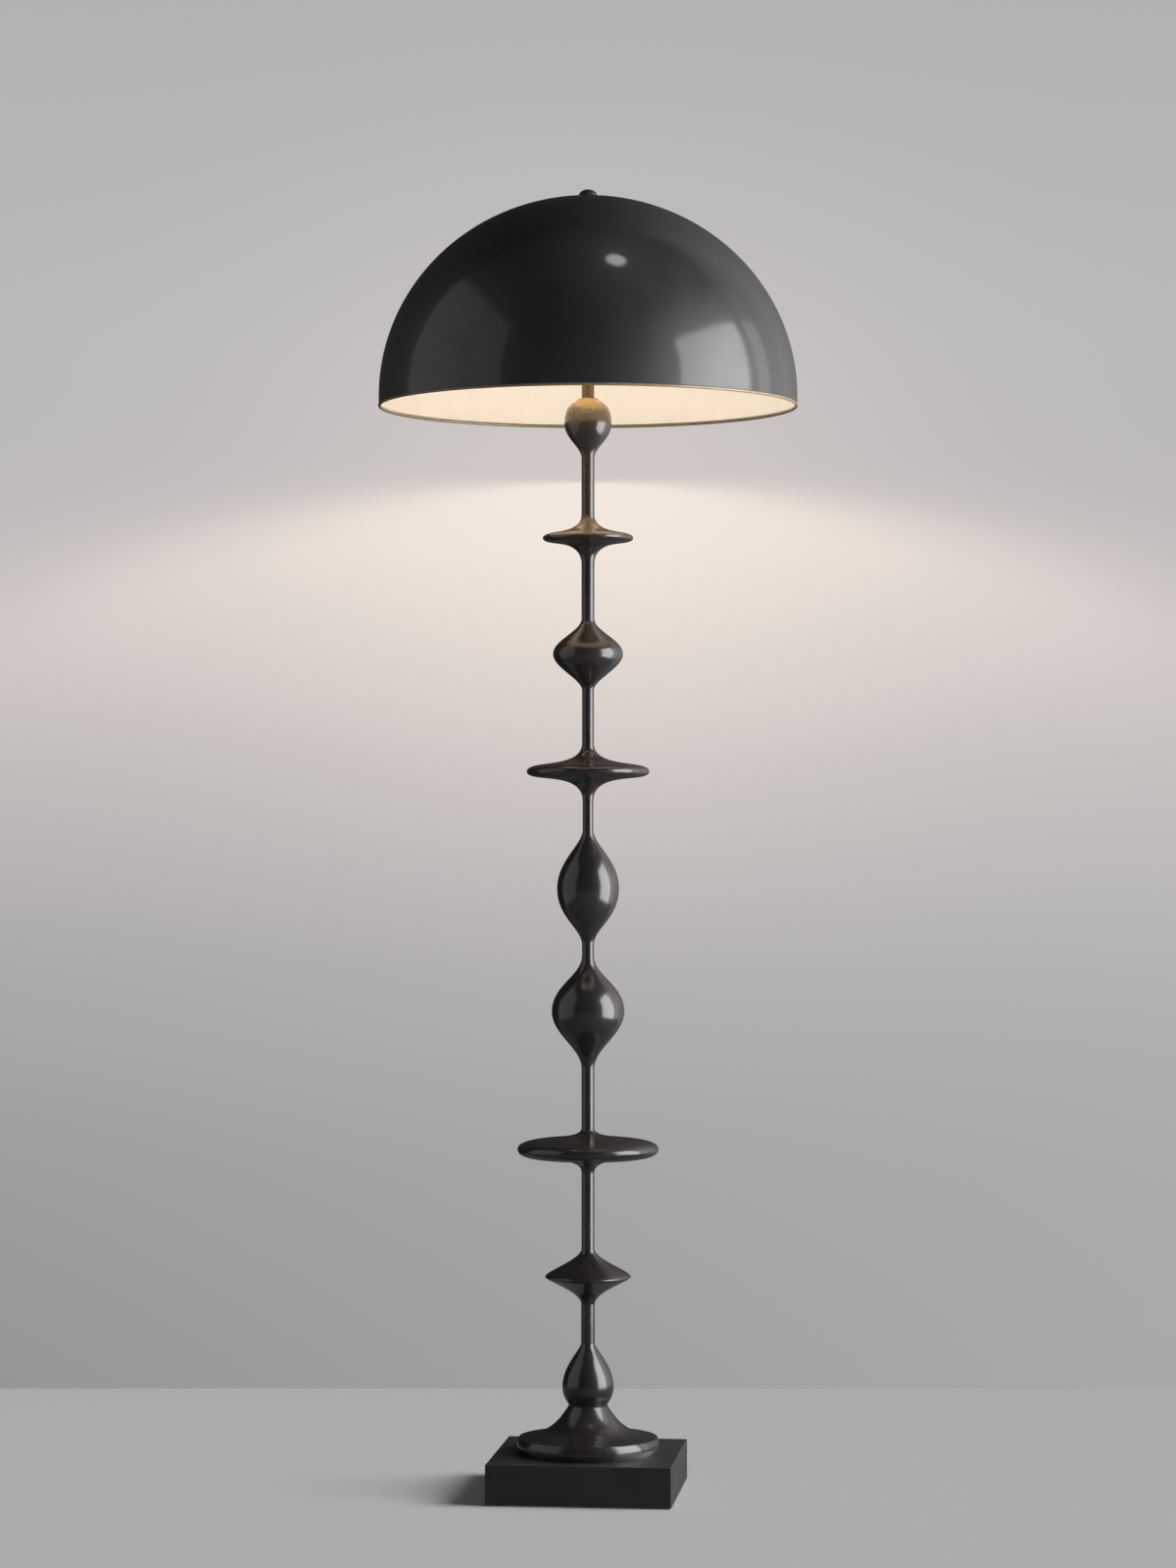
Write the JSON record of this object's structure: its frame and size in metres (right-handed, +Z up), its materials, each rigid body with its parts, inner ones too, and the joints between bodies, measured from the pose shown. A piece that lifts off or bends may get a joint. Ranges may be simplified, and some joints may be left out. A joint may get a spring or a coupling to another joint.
{
  "type": "mushroom floor lamp",
  "caption": "Floor lamp with a domed metal shade on a turned bead column and a square weighted plinth; rotary switch on the socket, shade held on a harp by a screw finial.",
  "frame": {"origin": "middle of the footprint, on the floor", "axes": "+Z up along the column; -Y is the front, where the switch points; the cord inlet is at +Y"},
  "size_m": [0.508, 0.508, 1.5776],
  "materials": {
    "column_lacquer": "gloss black-bronze lacquer over turned aluminium",
    "satin_black": "satin black powder coat",
    "shade_enamel": "gloss black enamel over spun aluminium",
    "shade_white": "warm white satin coat",
    "dark_bronze": "dark bronzed brass",
    "brass": "plain brass",
    "zinc": "zinc-plated steel",
    "raw_iron": "rough cast iron",
    "pad_rubber": "soft pad",
    "black_plastic": "moulded black",
    "white_plastic": "moulded white",
    "lead_sheath": "flexible lead sheath",
    "liner_card": "insulating card",
    "black_glass": "black insulator",
    "cap_metal": "bright thin metal",
    "globe_glass": "frosted, lit"
  },
  "bodies": {
    "stand": {"base_shell": "satin_black", "base_weight": "raw_iron", "bottom_plate": "satin_black", "bottom_plate_screws": "zinc", "foot_pads": "pad_rubber", "cord_bushing": "black_plastic", "cord_bushing_nut": "black_plastic", "terminal_block": "white_plastic", "inner_lead": "lead_sheath", "pipe_washer": "zinc", "pipe_nut": "brass", "lamp_pipe_lower": "zinc", "pipe_coupling": "brass", "lamp_pipe_upper": "zinc", "foot_bell": "column_lacquer", "teardrop_lower": "column_lacquer", "bicone_disc": "column_lacquer", "saucer_large": "column_lacquer", "onion_large": "column_lacquer", "vase_bead": "column_lacquer", "saucer_medium": "column_lacquer", "onion_small": "column_lacquer", "saucer_small": "column_lacquer", "teardrop_top": "column_lacquer", "neck_1": "column_lacquer", "neck_2": "column_lacquer", "neck_3": "column_lacquer", "neck_4": "column_lacquer", "neck_5": "column_lacquer", "neck_6": "column_lacquer", "neck_7": "column_lacquer", "neck_8": "column_lacquer", "stem_tube": "dark_bronze", "stack_nut": "brass", "harp_saddle": "brass", "harp_wire": "brass", "harp_top_stud": "brass", "socket_cap": "brass", "socket_shell": "brass", "socket_insulator": "liner_card", "socket_body": "black_plastic", "terminal_screws": "zinc", "screw_shell": "brass", "centre_contact": "brass", "bulb_contact": "zinc", "bulb_insulator": "black_glass", "bulb_cap": "cap_metal", "bulb_collar": "white_plastic", "bulb_globe": "globe_glass"},
    "sleeve_left": {"harp_sleeve_left": "brass"},
    "sleeve_right": {"harp_sleeve_right": "brass"},
    "switch": {"switch_shaft": "brass", "switch_knob": "black_plastic"},
    "shade": {"shade_shell": "shade_enamel", "shade_lining": "shade_white", "shade_crown_plate": "zinc"},
    "finial_flange": {"finial_washer": "shade_enamel"},
    "finial": {"finial_knob": "shade_enamel"}
  },
  "joints": [
    {"name": "switch_turn", "type": "hinge", "parent": "stand", "child": "switch", "pos_m": [0, -0.03, 1.378], "axis": [0, -1, 0], "continuous": true},
    {"name": "sleeve_left_slide", "type": "slide", "parent": "stand", "child": "sleeve_left", "axis": [0, 0, 1], "range_m": [0, 0.012]},
    {"name": "sleeve_right_slide", "type": "slide", "parent": "stand", "child": "sleeve_right", "axis": [0, 0, 1], "range_m": [0, 0.012]},
    {"name": "shade_turn", "type": "hinge", "parent": "stand", "child": "shade", "pos_m": [0, 0, 1.564], "axis": [0, 0, 1], "continuous": true},
    {"name": "finial_lift", "type": "slide", "parent": "stand", "child": "finial_flange", "axis": [0, 0, 1], "range_m": [0, 0.00564]},
    {"name": "finial_turn", "type": "hinge", "parent": "finial_flange", "child": "finial", "pos_m": [0, 0, 1.56865], "axis": [0, 0, 1], "range_deg": [0, 2160]}
  ],
  "couplings": [
    {"joint": "finial_lift", "follows": "finial_turn", "m_per_rad": 0.00014961}
  ]
}
